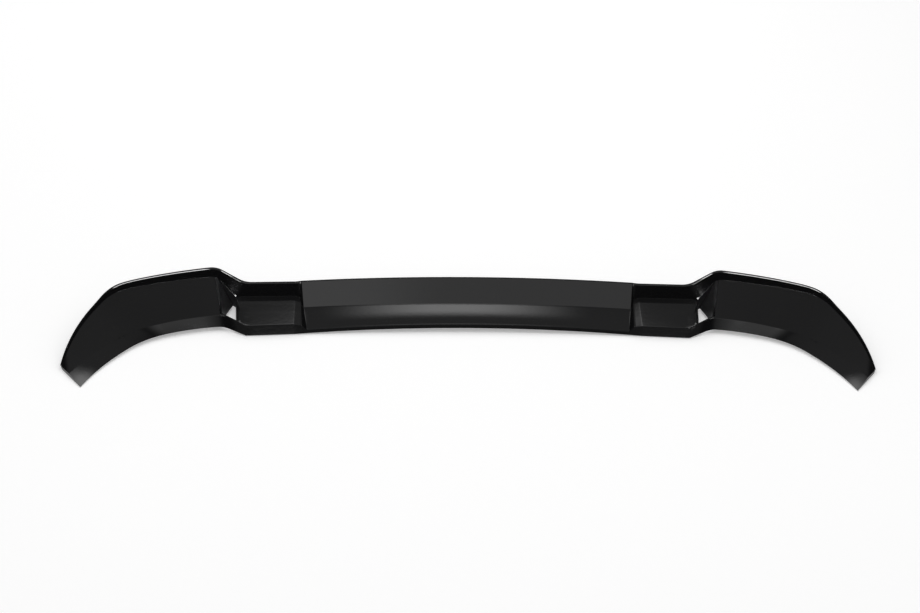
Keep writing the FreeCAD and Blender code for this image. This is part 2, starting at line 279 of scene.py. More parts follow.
def limit_on(points, origin, across, aside):
    """How far along a polyline its distance from a plane reaches a limit."""
    length = 0.0
    for a, b in zip(points, points[1:]):
        low, high = (a - origin).dot(across), (b - origin).dot(across)
        if high > aside:
            return length + (b - a).length * max(0.0, (aside - low) / (high - low))
        length += (b - a).length
    return length


def eased_heights(rows, reach):
    """Evens the heights along each column over a reach, and keeps both ends where they are."""
    for column in zip(*rows):
        flat = [0.0]
        for a, b in zip(column, column[1:]):
            flat.append(flat[-1] + math.hypot(b.x - a.x, b.y - a.y))
        first, last, end = column[0].z, column[-1].z, flat[-1]
        path = [(-at, 2 * first - p.z) for at, p in zip(flat[:0:-1], column[:0:-1])]
        path += [(at, p.z) for at, p in zip(flat, column)]
        path += [(2 * end - at, 2 * last - p.z) for at, p in zip(flat[-2::-1], column[-2::-1])]
        widths = [0.0] + [(c[0] - a[0]) / 2 for a, c in zip(path, path[2:])] + [0.0]
        heights = []
        for at in flat:
            near = [
                (width * math.exp(-0.5 * ((where - at) / reach) ** 2), height)
                for (where, height), width in zip(path, widths) if abs(where - at) < EASE_WINDOW * reach
            ]
            heights.append(sum(w * h for w, h in near) / sum(w for w, _ in near))
        for point, height in zip(column, heights):
            point.z = height


class SkinBuilder:
    """The right half of the outer skin as grids of points, in millimetres in the plan's own frame."""

    def __init__(self, settings):
        self.settings = settings
        self.quads = []

    def add(self, rows, first=0, last=None, soft=False):
        last = len(rows[0]) - 1 if last is None else last
        for one, two in zip(rows, rows[1:]):
            for j in range(first, last):
                self.quads.append(((one[j], two[j], two[j + 1], one[j + 1]), soft))

    def build(self):
        settings = self.settings

        def section(station, shoulder=0.0):
            return section_points(station, settings, shoulder)[0]

        recess_end = section(recess_station(RECESS_HALF))
        edge_profile = mix_profiles(BLOCK, RECESS, [CHAMFER_SHARE] * len(BLOCK))
        chamfer_edge = section(center_station(WALL_END, WALL_END + RECESS_RAKE / 2, edge_profile))
        block_start = section(block_station(CHAMFER_END))
        block_end = section(block_station(CENTER_HALF), BLOCK_SHOULDER)
        root, columns = section_points(wing_station(0.0), settings)
        count = len(root)

        # recess, its end wall and the chamfer beside it, up to the start of the block
        inner, steps = RECESS_HALF - settings.crease, settings.recess_steps
        crease = [settings.crease] * count
        rows = [section(recess_station(inner * i / steps)) for i in range(steps + 1)]
        wall_foot = rounded_rows(rows[-1], recess_end, chamfer_edge, crease, WALL_CREASE_STEPS)
        wall_head = rounded_rows(recess_end, chamfer_edge, block_start, crease, WALL_CREASE_STEPS)
        block_foot = rounded_rows(chamfer_edge, block_start, block_end, crease, BLOCK_CREASE_STEPS)
        rows += wall_foot[1:]
        rows += rows_between(rows[-1], wall_head[0], WALL_STEPS) + wall_head
        rows += rows_between(rows[-1], block_foot[0], CHAMFER_STEPS) + block_foot
        self.add(rows)

        # bevel and band of the block, the step and the root of the wing, with rounded kinks
        ahead = section(wing_station(ROOT_AHEAD))
        bend = [settings.bend] * count
        for j in range(columns.strip, columns.fold):
            bend[j] = RAMP_BEND
        end_rows = rounded_rows(block_start, block_end, root, bend, KINK_STEPS)
        root_rows = rounded_rows(block_end, root, ahead, bend, KINK_STEPS)
        block_row = block_foot[-1]
        block_rows = [block_row] + rows_between(block_row, end_rows[0], BLOCK_STEPS) + [end_rows[0]]
        step_rows = end_rows + rows_between(end_rows[-1], root_rows[0], STEP_STEPS) + root_rows
        for low, high in ((0, columns.strip), (columns.fold, count - 1)):
            self.add(block_rows, low, high)
        self.add(step_rows, 0, columns.strip, True)
        self.add(step_rows, columns.fold, columns.nose, True)
        half = len(end_rows) // 2
        self.add(end_rows[:half + 1], columns.nose, count - 1, True)
        self.add(root_rows[half:], columns.nose, count - 1, True)

        # ramp of the block, up to where it rounds down into the slot
        end = block_station(CENTER_HALF)
        along = (end.trail - end.lead).normalized()
        across = Vector((along.y, -along.x, 0))
        patch = []
        for j in range(columns.strip, columns.fold + 1):
            path = [block_row[j], block_end[j], root[j]]
            reach = limit_on(path, end.lead, across, BLOCK_SHOULDER - SLOT_BLOCK_RADIUS + SLOT_OVERLAP)
            patch.append([walked(path, reach * i / PATCH_STEPS) for i in range(PATCH_STEPS + 1)])
        self.add([list(row) for row in zip(*patch)])

        # wing, whose ramp starts where it rounds down into the slot
        start = settings.bend / WING_LENGTH
        steps = settings.wing_steps
        shares = [start + (1 - start) * i / steps for i in range(steps + 1)]
        wing = [section(wing_station(t)) for t in shares]
        eased_heights(wing, settings.ease)
        self.add([root_rows[-1], wing[0]], 0, columns.strip)
        self.add([root_rows[-1], wing[0]], columns.fold, count - 1)
        edge = []
        span = columns.fold - columns.strip
        for j in range(columns.strip, columns.fold + 1):
            lean = (j - columns.strip) / span
            reach = SLOT_WING_RADIUS * (1 - SLOT_LEAN * lean) / WING_LENGTH
            edge.append((j, reach))
        ramp_rows = []
        for i in range(ROOT_STEPS + 1):
            row = []
            for j, reach in edge:
                share = reach + (start - reach) * i / ROOT_STEPS
                row.append(section(wing_station(share))[j])
            ramp_rows.append(row)
        self.add(ramp_rows)
        self.add(wing, soft=True)
        return self.quads


# the plan's frame is moved to the part's own by the foremost point of the tips
PLAN_SHIFT = CAD_BOX[0][1] / MM - wing_station(1.0).lead.y


def in_metres(point, side=1):
    return Vector((point.x * side, point.y + PLAN_SHIFT, point.z)) * MM


# Node groups and materials

def node(tree, kind, at, inputs=None, **values):
    """A new node with its settings and the default values of its inputs."""
    made = tree.nodes.new(kind)
    made.location = at
    for name, value in values.items():
        setattr(made, name, value)
    for name, value in (inputs or {}).items():
        made.inputs[name].default_value = value
    return made


def link(tree, one, out, two, into):
    tree.links.new(one.outputs[out], two.inputs[into])


def joined(tree, at, operation, one, two):
    """A math node over the first outputs of two nodes."""
    made = node(tree, "ShaderNodeMath", at, operation=operation)
    link(tree, one, 0, made, 0)
    link(tree, two, 0, made, 1)
    return made


def moulded_surface():
    """Shared effect: faint orange peel, dust and fine wear on gloss, and grain on the unpainted inside."""
    group = bpy.data.node_groups.new("Moulded Surface", "ShaderNodeTree")
    face = group.interface
    sockets = (
        ("Inside", 0.0), ("Gloss", 0.05), ("Grain Roughness", 0.48), ("Peel Scale", 160.0),
        ("Dust", 0.5), ("Wear", 0.5),
    )
    for name, default in sockets:
        face.new_socket(name=name, in_out="INPUT", socket_type="NodeSocketFloat").default_value = default
    for name, tone in (("Paint", 0.006), ("Plastic", 0.018)):
        socket = face.new_socket(name=name, in_out="INPUT", socket_type="NodeSocketColor")
        socket.default_value = (tone, tone, tone * 1.06, 1)
    face.new_socket(name="Color", in_out="OUTPUT", socket_type="NodeSocketColor")
    face.new_socket(name="Roughness", in_out="OUTPUT", socket_type="NodeSocketFloat")
    face.new_socket(name="Height", in_out="OUTPUT", socket_type="NodeSocketFloat")
    enter = node(group, "NodeGroupInput", (-900, 0))
    leave = node(group, "NodeGroupOutput", (900, 0))
    coords = node(group, "ShaderNodeTexCoord", (-900, -300))
    peel = node(group, "ShaderNodeTexNoise", (-600, 200), {"Detail": 1.0})
    link(group, coords, "Object", peel, "Vector")
    link(group, enter, "Peel Scale", peel, "Scale")
    grain = node(group, "ShaderNodeTexNoise", (-600, -50), {"Scale": 1400.0, "Detail": 2.0})
    link(group, coords, "Object", grain, "Vector")
    # dust lies in specks on faces that look up
    specks = node(group, "ShaderNodeTexVoronoi", (-600, -300), {"Scale": 260.0})
    link(group, coords, "Object", specks, "Vector")
    speck_size = {"From Min": 0.05, "From Max": 0.16, "To Min": 1.0, "To Max": 0.0}
    small = node(group, "ShaderNodeMapRange", (-350, -300), speck_size)
    link(group, specks, "Distance", small, "Value")
    patches = node(group, "ShaderNodeTexNoise", (-600, -550), {"Scale": 14.0, "Detail": 3.0})
    link(group, coords, "Object", patches, "Vector")
    some = node(group, "ShaderNodeMapRange", (-350, -550), {"From Min": 0.5, "From Max": 0.72})
    link(group, patches, "Fac", some, "Value")
    shape = node(group, "ShaderNodeNewGeometry", (-600, -800))
    facing = node(group, "ShaderNodeSeparateXYZ", (-350, -800))
    link(group, shape, "Normal", facing, "Vector")
    up = node(group, "ShaderNodeMapRange", (-150, -800), {"From Min": 0.35, "From Max": 0.9})
    link(group, facing, "Z", up, "Value")
    dust = None
    for source, out in ((small, "Result"), (some, "Result"), (up, "Result"), (enter, "Dust")):
        if dust is None:
            dust = (source, out)
            continue
        times = node(group, "ShaderNodeMath", (50, -500), operation="MULTIPLY")
        link(group, dust[0], dust[1], times, 0)
        link(group, source, out, times, 1)
        dust = (times, "Value")
    # fine wear changes the gloss in long soft strokes
    stretch = node(group, "ShaderNodeMapping", (-700, 450), {"Scale": (6.0, 90.0, 90.0)})
    link(group, coords, "Object", stretch, "Vector")
    strokes = node(group, "ShaderNodeTexNoise", (-500, 450), {"Scale": 1.0, "Detail": 4.0})
    link(group, stretch, "Vector", strokes, "Vector")
    stroke_depth = {"From Min": 0.45, "From Max": 0.8, "To Max": 0.06}
    worn = node(group, "ShaderNodeMapRange", (-300, 450), stroke_depth)
    link(group, strokes, "Fac", worn, "Value")
    worn_share = node(group, "ShaderNodeMath", (-100, 450), operation="MULTIPLY")
    link(group, worn, "Result", worn_share, 0)
    link(group, enter, "Wear", worn_share, 1)
    gloss = node(group, "ShaderNodeMath", (100, 400), operation="ADD")
    link(group, enter, "Gloss", gloss, 0)
    link(group, worn_share, "Value", gloss, 1)
    dusty = node(group, "ShaderNodeMath", (300, 300), operation="MULTIPLY_ADD", inputs={1: 0.5})
    link(group, dust[0], dust[1], dusty, 0)
    link(group, gloss, "Value", dusty, 2)
    rough = node(group, "ShaderNodeMix", (500, 200), data_type="FLOAT")
    link(group, enter, "Inside", rough, FACTOR)
    link(group, dusty, "Value", rough, FLOAT_A)
    link(group, enter, "Grain Roughness", rough, FLOAT_B)
    dust_color = {COLOR_B: (0.16, 0.15, 0.14, 1)}
    tint = node(group, "ShaderNodeMix", (300, 0), data_type="RGBA", inputs=dust_color)
    link(group, dust[0], dust[1], tint, FACTOR)
    link(group, enter, "Paint", tint, COLOR_A)
    color = node(group, "ShaderNodeMix", (500, 0), data_type="RGBA")
    link(group, enter, "Inside", color, FACTOR)
    link(group, tint, COLOR_OUT, color, COLOR_A)
    link(group, enter, "Plastic", color, COLOR_B)
    height = node(group, "ShaderNodeMix", (500, -200), data_type="FLOAT")
    link(group, enter, "Inside", height, FACTOR)
    link(group, peel, "Fac", height, FLOAT_A)
    link(group, grain, "Fac", height, FLOAT_B)
    link(group, rough, FLOAT_OUT, leave, "Roughness")
    link(group, color, COLOR_OUT, leave, "Color")
    link(group, height, FLOAT_OUT, leave, "Height")
    return group


def gloss_material(settings):
    """Gloss black moulding, satin and grained on the unpainted inside."""
    material = bpy.data.materials.new("Gloss Black Moulding")
    material.use_nodes = True
    tree = material.node_tree
    shader = tree.nodes["Principled BSDF"]
    shader.inputs["IOR"].default_value = 1.5
    amounts = {"Gloss": settings.gloss, "Dust": settings.dust, "Wear": settings.wear}
    surface = node(tree, "ShaderNodeGroup", (-500, 0), amounts, node_tree=moulded_surface())
    inside = node(tree, "ShaderNodeAttribute", (-750, 0), attribute_name="inside")
    link(tree, inside, "Fac", surface, "Inside")
    link(tree, surface, "Color", shader, "Base Color")
    link(tree, surface, "Roughness", shader, "Roughness")
    uneven = {"Strength": settings.peel, "Distance": BUMP_DEPTH}
    bump = node(tree, "ShaderNodeBump", (-250, -250), uneven)
    link(tree, surface, "Height", bump, "Height")
    link(tree, bump, "Normal", shader, "Normal")
    return material


def tape_material(name, low, high, scale, roughness):
    """A soft matt material that varies between two colours, for foam or liner film."""
    material = bpy.data.materials.new(name)
    material.use_nodes = True
    tree = material.node_tree
    shader = tree.nodes["Principled BSDF"]
    shader.inputs["Roughness"].default_value = roughness
    coords = node(tree, "ShaderNodeTexCoord", (-900, 0))
    cells = node(tree, "ShaderNodeTexNoise", (-700, 0), {"Scale": scale, "Detail": 3.0})
    link(tree, coords, "Object", cells, "Vector")
    both = {COLOR_A: (*low, 1), COLOR_B: (*high, 1)}
    tones = node(tree, "ShaderNodeMix", (-400, 100), data_type="RGBA", inputs=both)
    link(tree, cells, "Fac", tones, FACTOR)
    link(tree, tones, COLOR_OUT, shader, "Base Color")
    bump = node(tree, "ShaderNodeBump", (-250, -250), {"Strength": 0.3, "Distance": BUMP_DEPTH})
    link(tree, cells, "Fac", bump, "Height")
    link(tree, bump, "Normal", shader, "Normal")
    return material


def tape_along_path():
    """Geometry nodes: foam and its liner film, swept along a path that lies on the tape's underside."""
    group = bpy.data.node_groups.new("Tape Along Path", "GeometryNodeTree")
    face = group.interface
    face.new_socket(name="Path", in_out="INPUT", socket_type="NodeSocketGeometry")
    for name, default in (("Width", 0.01), ("Foam Thickness", 0.0008), ("Liner Thickness", 0.0002)):
        face.new_socket(name=name, in_out="INPUT", socket_type="NodeSocketFloat").default_value = default
    for name in ("Foam", "Liner"):
        face.new_socket(name=name, in_out="INPUT", socket_type="NodeSocketMaterial")
    face.new_socket(name="Tape", in_out="OUTPUT", socket_type="NodeSocketGeometry")
    enter = node(group, "NodeGroupInput", (-900, 0))
    leave = node(group, "NodeGroupOutput", (1250, 0))
    upright = node(group, "GeometryNodeSetCurveNormal", (-700, 0))
    upright.mode = "Z_UP"
    link(group, enter, "Path", upright, "Curve")
    join = node(group, "GeometryNodeJoinGeometry", (500, 0))
    for row, (layer, thickness) in enumerate((("Liner", "Liner Thickness"), ("Foam", "Foam Thickness"))):
        y = 300 - 500 * row
        profile = node(group, "GeometryNodeCurvePrimitiveQuadrilateral", (-500, y))
        profile.mode = "RECTANGLE"
        link(group, enter, thickness, profile, "Height")
        link(group, enter, "Width", profile, "Width")
        rise = node(group, "ShaderNodeMath", (-700, y - 150), operation="MULTIPLY")
        link(group, enter, thickness, rise, 0)
        rise.inputs[1].default_value = 0.5
        lifted = rise
        if layer == "Foam":
            lifted = node(group, "ShaderNodeMath", (-500, y - 150), operation="ADD")
            link(group, rise, "Value", lifted, 0)
            link(group, enter, "Liner Thickness", lifted, 1)
        offset = node(group, "ShaderNodeCombineXYZ", (-300, y - 150))
        link(group, lifted, "Value", offset, "Z")
        sweep = node(group, "GeometryNodeCurveToMesh", (-200, y))
        sweep.inputs["Fill Caps"].default_value = True
        link(group, upright, "Curve", sweep, "Curve")
        link(group, profile, "Curve", sweep, "Profile Curve")
        move = node(group, "GeometryNodeTransform", (0, y))
        link(group, sweep, "Mesh", move, "Geometry")
        link(group, offset, "Vector", move, "Translation")
        mark = node(group, "GeometryNodeStoreNamedAttribute", (250, y), data_type="BOOLEAN", domain="FACE")
        mark.inputs["Name"].default_value = "film"
        mark.inputs["Value"].default_value = layer == "Liner"
        link(group, move, "Geometry", mark, "Geometry")
        link(group, mark, "Geometry", join, "Geometry")
    flat = node(group, "GeometryNodeSetShadeSmooth", (620, 0))
    flat.inputs["Shade Smooth"].default_value = False
    real = node(group, "GeometryNodeRealizeInstances", (750, 0))
    link(group, join, "Geometry", flat, "Geometry")
    link(group, flat, "Geometry", real, "Geometry")
    foam = node(group, "GeometryNodeSetMaterial", (900, 0))
    link(group, real, "Geometry", foam, "Geometry")
    link(group, enter, "Foam", foam, "Material")
    film = node(group, "GeometryNodeInputNamedAttribute", (900, -250), data_type="BOOLEAN")
    film.inputs["Name"].default_value = "film"
    liner = node(group, "GeometryNodeSetMaterial", (1050, 0))
    link(group, foam, "Geometry", liner, "Geometry")
    link(group, film, "Attribute", liner, "Selection")
    link(group, enter, "Liner", liner, "Material")
    link(group, liner, "Geometry", leave, "Tape")
    return group


def set_inputs(modifier, values):
    """Sets a geometry nodes modifier's inputs by their names."""
    for item in modifier.node_group.interface.items_tree:
        if item.item_type == "SOCKET" and item.in_out == "INPUT" and item.name in values:
            modifier[item.identifier] = values[item.name]


# Light that the gloss mirrors: soft boxes by the angle round the spoiler in degrees (0 in front, 90 above,
# 180 behind) and by the direction to the side (-1 left, 1 right), with the widths of their soft edges
SoftBox = namedtuple("SoftBox", "name level low high low_edge high_edge left right side_edge")
STUDIO = (
    SoftBox("Front Wall", 0.12, -10, 8, 5, 20, -1.0, 1.0, 0.1),
    SoftBox("Overhead", 0.75, 56, 76, 16, 22, -0.2, 0.2, 0.35),
    SoftBox("Overhead Left", 0.35, 60, 78, 8, 10, -0.12, -0.03, 0.05),
    SoftBox("Rear Wall", 0.2, 104, 128, 14, 40, -0.15, 0.18, 0.25),
    SoftBox("Rear Lamp", 1.85, 138.6, 140.8, 3.3, 1.6, 0.012, 0.03, 0.085),
    SoftBox("Left Strip", 20.0, 50.2, 56.5, 2, 3, -0.5, -0.25, 0.035),
    SoftBox("Right Strip", 20.0, 50.2, 56.5, 2, 3, 0.3, 0.55, 0.035),
)

# Lamps for the diffuse light: places and sizes in metres, tilts in degrees
Lamp = namedtuple("Lamp", "name place tilt width depth level")
LAMPS = (
    Lamp("Overhead", (0.0, -0.62, 2.0), 0.0, 4.6, 1.25, 0.95),
    Lamp("Rear Left", (-1.75, 2.3, 2.0), 0.0, 2.4, 3.2, 0.40),
    Lamp("Rear Right", (1.75, 2.3, 2.0), 0.0, 2.4, 3.2, 0.27),
    Lamp("Rear Middle", (0.0, 1.75, 1.95), 0.0, 0.75, 1.9, 2.0),
    Lamp("Front Fill", (0.0, -5.0, 0.95), 90.0, 8.0, 1.8, 0.16),
)


# Settings

class SpoilerSkinSettings(bpy.types.PropertyGroup):
    recess_steps: bpy.props.IntProperty(
        name="Recess Steps", description="Rows along half the recess", default=48,
    )
    wing_steps: bpy.props.IntProperty(
        name="Wing Steps", description="Rows along a wing", default=110,
    )
    ramp_steps: bpy.props.IntProperty(
        name="Ramp Steps", description="Columns across the ramp", default=10,
    )
    arc_steps: bpy.props.IntProperty(
        name="Arc Steps", description="Columns round each edge", default=6,
    )
    support: bpy.props.FloatProperty(
        name="Support", description="Distance of the columns beside an edge, mm", default=0.7,
    )
    lip: bpy.props.FloatProperty(
        name="Lip", description="How far the skin turns under the foot, mm", default=0.25,
    )
    crease: bpy.props.FloatProperty(
        name="Crease", description="Rounding of the recess's creases, mm", default=0.8,
    )
    ease: bpy.props.FloatProperty(
        name="Ease", description="Reach over which the wing's heights are evened, mm", default=14.0,
    )
    fine: bpy.props.FloatProperty(
        name="Fine", description="Size of the solid's faces beside the slots, mm", default=2.5,
    )
    bend: bpy.props.FloatProperty(
        name="Bend", description="Rounding of the kinks beside the slots, mm", default=11.0,
    )
    gloss: bpy.props.FloatProperty(
        name="Gloss", description="Roughness of the clean paint", default=0.05,
    )
    dust: bpy.props.FloatProperty(
        name="Dust", description="Amount of dust specks", default=0.35,
    )
    wear: bpy.props.FloatProperty(
        name="Wear", description="Amount of fine wear", default=0.5,
    )
    peel: bpy.props.FloatProperty(
        name="Peel", description="Strength of the orange peel", default=0.06,
    )


class SpoilerTapeSettings(bpy.types.PropertyGroup):
    liner: bpy.props.FloatProperty(
        name="Liner", description="Thickness of the liner film", default=0.00015, unit="LENGTH",
    )
    steps: bpy.props.IntProperty(
        name="Steps", description="Points along each strip", default=40,
    )


class SpoilerStageSettings(bpy.types.PropertyGroup):
    distance: bpy.props.FloatProperty(
        name="Distance", description="Camera to target", default=4.0, unit="LENGTH",
    )
    elevation: bpy.props.FloatProperty(
        name="Elevation", description="Camera above the floor", default=math.radians(29.35), subtype="ANGLE",
    )
    azimuth: bpy.props.FloatProperty(
        name="Azimuth", description="Camera round the part", default=math.radians(-2.0), subtype="ANGLE",
    )
    roll: bpy.props.FloatProperty(
        name="Roll", description="Tilt of the picture", default=math.radians(1.3), subtype="ANGLE",
    )
    lens: bpy.props.FloatProperty(
        name="Lens", description="Focal length, mm", default=102.42,
    )
    ambient: bpy.props.FloatProperty(
        name="Ambient", description="Level of the soft light from all round", default=0.4,
    )


# Operators

class SPOILER_OT_shell(bpy.types.Operator):
    """Build the gloss skin over the moulding and keep the moulding's own inside"""
    bl_idname = "spoiler.shell"
    bl_label = "Build Shell"

    def execute(self, context):
        settings = context.scene.spoiler_skin
        quads = SkinBuilder(settings).build()
        skin = bmesh.new()
        inside = skin.verts.layers.float.new("inside")
        for side in (1, -1):
            for points, _ in quads:
                corners = [in_metres(p, side) for p in points]
                skin.faces.new([skin.verts.new(c) for c in (corners if side > 0 else reversed(corners))])
        bmesh.ops.remove_doubles(skin, verts=skin.verts[:], dist=MERGE)
        bmesh.ops.dissolve_degenerate(skin, dist=TINY, edges=skin.edges[:])
        trees = []
        for cover in COVERS:
            points, faces = [], []
            for side in (1, -1):
                for corners, is_soft in quads:
                    if is_soft == cover.soft:
                        faces.append([len(points) + k for k in range(4)][::side])
                        points += [in_metres(p, side) for p in corners]
            trees.append((BVHTree.FromPolygons(points, faces), cover))
        self.keep_inside(skin, inside, trees, settings.fine * MM)
        mesh = bpy.data.meshes.new("Spoiler_Shell")
        skin.to_mesh(mesh)
        skin.free()
        mesh.polygons.foreach_set("use_smooth", [True] * len(mesh.polygons))
        mesh.set_sharp_from_angle(angle=math.radians(SHARP_DEGREES))
        piece = bpy.data.objects.new("Spoiler_Shell", mesh)
        context.scene.collection.objects.link(piece)
        mesh.materials.append(gloss_material(settings))
        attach(piece, "root")
        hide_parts("spoiler_shell")
        return {"FINISHED"}

    def keep_inside(self, skin, inside, trees, fine):
        """Adds the faces of the solid that the skin doesn't cover: hollow, lands, ribs and slot walls."""
        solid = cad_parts["spoiler_shell"].data
        rest = bmesh.new()
        rest.from_mesh(solid)
        bmesh.ops.triangulate(rest, faces=rest.faces[:])
        bmesh.ops.delete(rest, geom=[f for f in rest.faces if self.hidden(trees, f)], context="FACES")
        # beside the slots the faces are cut small, so that the skin can cover a part of one
        for _ in range(CUT_ROUNDS):
            beside = [f for f in rest.faces if self.beside_slot(f)]
            long = {e for f in beside for e in f.edges if e.calc_length() > fine}
            if not long:
                break
            bmesh.ops.subdivide_edges(rest, edges=list(long), cuts=1)
            bmesh.ops.triangulate(rest, faces=[f for f in rest.faces if len(f.verts) > 3])
        rest.normal_update()
        bmesh.ops.delete(rest, geom=[f for f in rest.faces if self.hidden(trees, f)], context="FACES")
        rest.verts.index_update()
        verts = {}
        for face in rest.faces:
            middle, normal = face.calc_center_median(), face.normal
            x = abs(middle.x)
            in_slot = SLOT_FROM < x < SLOT_TO and normal.z > -UPRIGHT
            at_tip = x > TIP_FROM and abs(normal.z) < UPRIGHT
            behind = normal.y > BACKWARD and normal.z > UNDERNEATH and middle.y > BACK_FROM
            outer = in_slot or at_tip or behind
            wall = in_slot and abs(normal.x) > SIDEWAYS
            made = []
            for vert in face.verts:
                key = (vert.index, outer, wall)
                if key not in verts:
                    verts[key] = skin.verts.new(vert.co)
                    verts[key][inside] = 0.0 if outer and not wall else 1.0
                made.append(verts[key])
            if skin.faces.get(made) is None:
                skin.faces.new(made)
        rest.free()

    def beside_slot(self, face):
        """Whether a face reaches the stretch of a step and its slot."""
        places = [abs(vert.co.x) for vert in face.verts]
        return max(places) > STEP_FROM and min(places) < STEP_TO

    def covered(self, trees, point, normal=None):
        """Whether the skin lies over a point of the solid, and not only beside it."""
        for tree, cover in trees:
            place_on, facing, _, _ = tree.find_nearest(point, cover.reach)
            if place_on is None or (normal is not None and facing.dot(normal) < cover.likeness):
                continue
            away = point - place_on
            if (away - facing * away.dot(facing)).length < BESIDE:
                return True
        return False

    def hidden(self, trees, face):
        """Whether a whole face of the solid lies under the skin."""
        if not self.covered(trees, face.calc_center_median(), face.normal):
            return False
        return all(self.covered(trees, vert.co) for vert in face.verts)


class SPOILER_OT_tapes(bpy.types.Operator):
    """Sweep the foam tape and its liner along the bonding lands"""
    bl_idname = "spoiler.tapes"
    bl_label = "Build Tapes"

    def execute(self, context):
        settings = context.scene.spoiler_tape
        group = tape_along_path()
        foam = tape_material(
            "Foam Tape", low=(0.035, 0.035, 0.038), high=(0.075, 0.075, 0.08), scale=900.0, roughness=0.85,
        )
        liner = tape_material(
            "Liner Film", low=(0.40, 0.40, 0.39), high=(0.48, 0.48, 0.47), scale=60.0, roughness=0.3,
        )
        for name, at_back in (("front_tape", False), ("rear_tape", True)):
            center = self.center_path(at_back, settings.steps)
            wing = self.wing_path(at_back, settings.steps)
            for place_name, path, side in (("center", center, 1), ("right", wing, 1), ("left", wing, -1)):
                node_name = name + "_" + place_name
                curve = bpy.data.curves.new(node_name, "CURVE")
                curve.dimensions = "3D"
                spline = curve.splines.new("POLY")
                spline.points.add(len(path) - 1)
                for point, at in zip(spline.points, path):
                    point.co = (*in_metres(at, side), 1)
                source = bpy.data.objects.new(node_name + "_path", curve)
                context.scene.collection.objects.link(source)
                modifier = source.modifiers.new("Tape", "NODES")
                modifier.node_group = group
                thickness = TAPE_THICKNESS * MM
                set_inputs(modifier, {
                    "Width": TAPE_WIDTH * MM, "Liner Thickness": settings.liner,
                    "Foam Thickness": thickness - settings.liner, "Foam": foam, "Liner": liner,
                })
                view = context.evaluated_depsgraph_get()
                mesh = bpy.data.meshes.new_from_object(source.evaluated_get(view))
                source.modifiers.remove(modifier)
                bpy.data.objects.remove(source)
                piece = bpy.data.objects.new("Tape_" + node_name, mesh)
                context.scene.collection.objects.link(piece)
                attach(piece, "root")
                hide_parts(node_name)
        return {"FINISHED"}

    def underside(self, station, at_back):
        depth = (station.trail - station.lead).length
        run = TAPE_INSET + TAPE_WIDTH / 2
        if at_back:
            run = depth - station.profile.undercut - run
        return place(station, run, -FOOT)

    def center_path(self, at_back, steps):
        half = [block_station(CENTER_HALF - TAPE_END_GAP), block_station(CHAMFER_END)]
        half += [recess_station(RECESS_HALF * (1 - i / steps)) for i in range(steps)]
        right = [self.underside(station, at_back) for station in half]
        middle = self.underside(recess_station(0.0), at_back)
        return right + [middle] + [Vector((-p.x, p.y, p.z)) for p in reversed(right)]

    def wing_path(self, at_back, steps):
        first = TAPE_END_GAP / WING_LENGTH
        shares = [first + (WING_TAPE_END - first) * i / steps for i in range(steps + 1)]
        return [self.underside(wing_station(t), at_back) for t in shares]


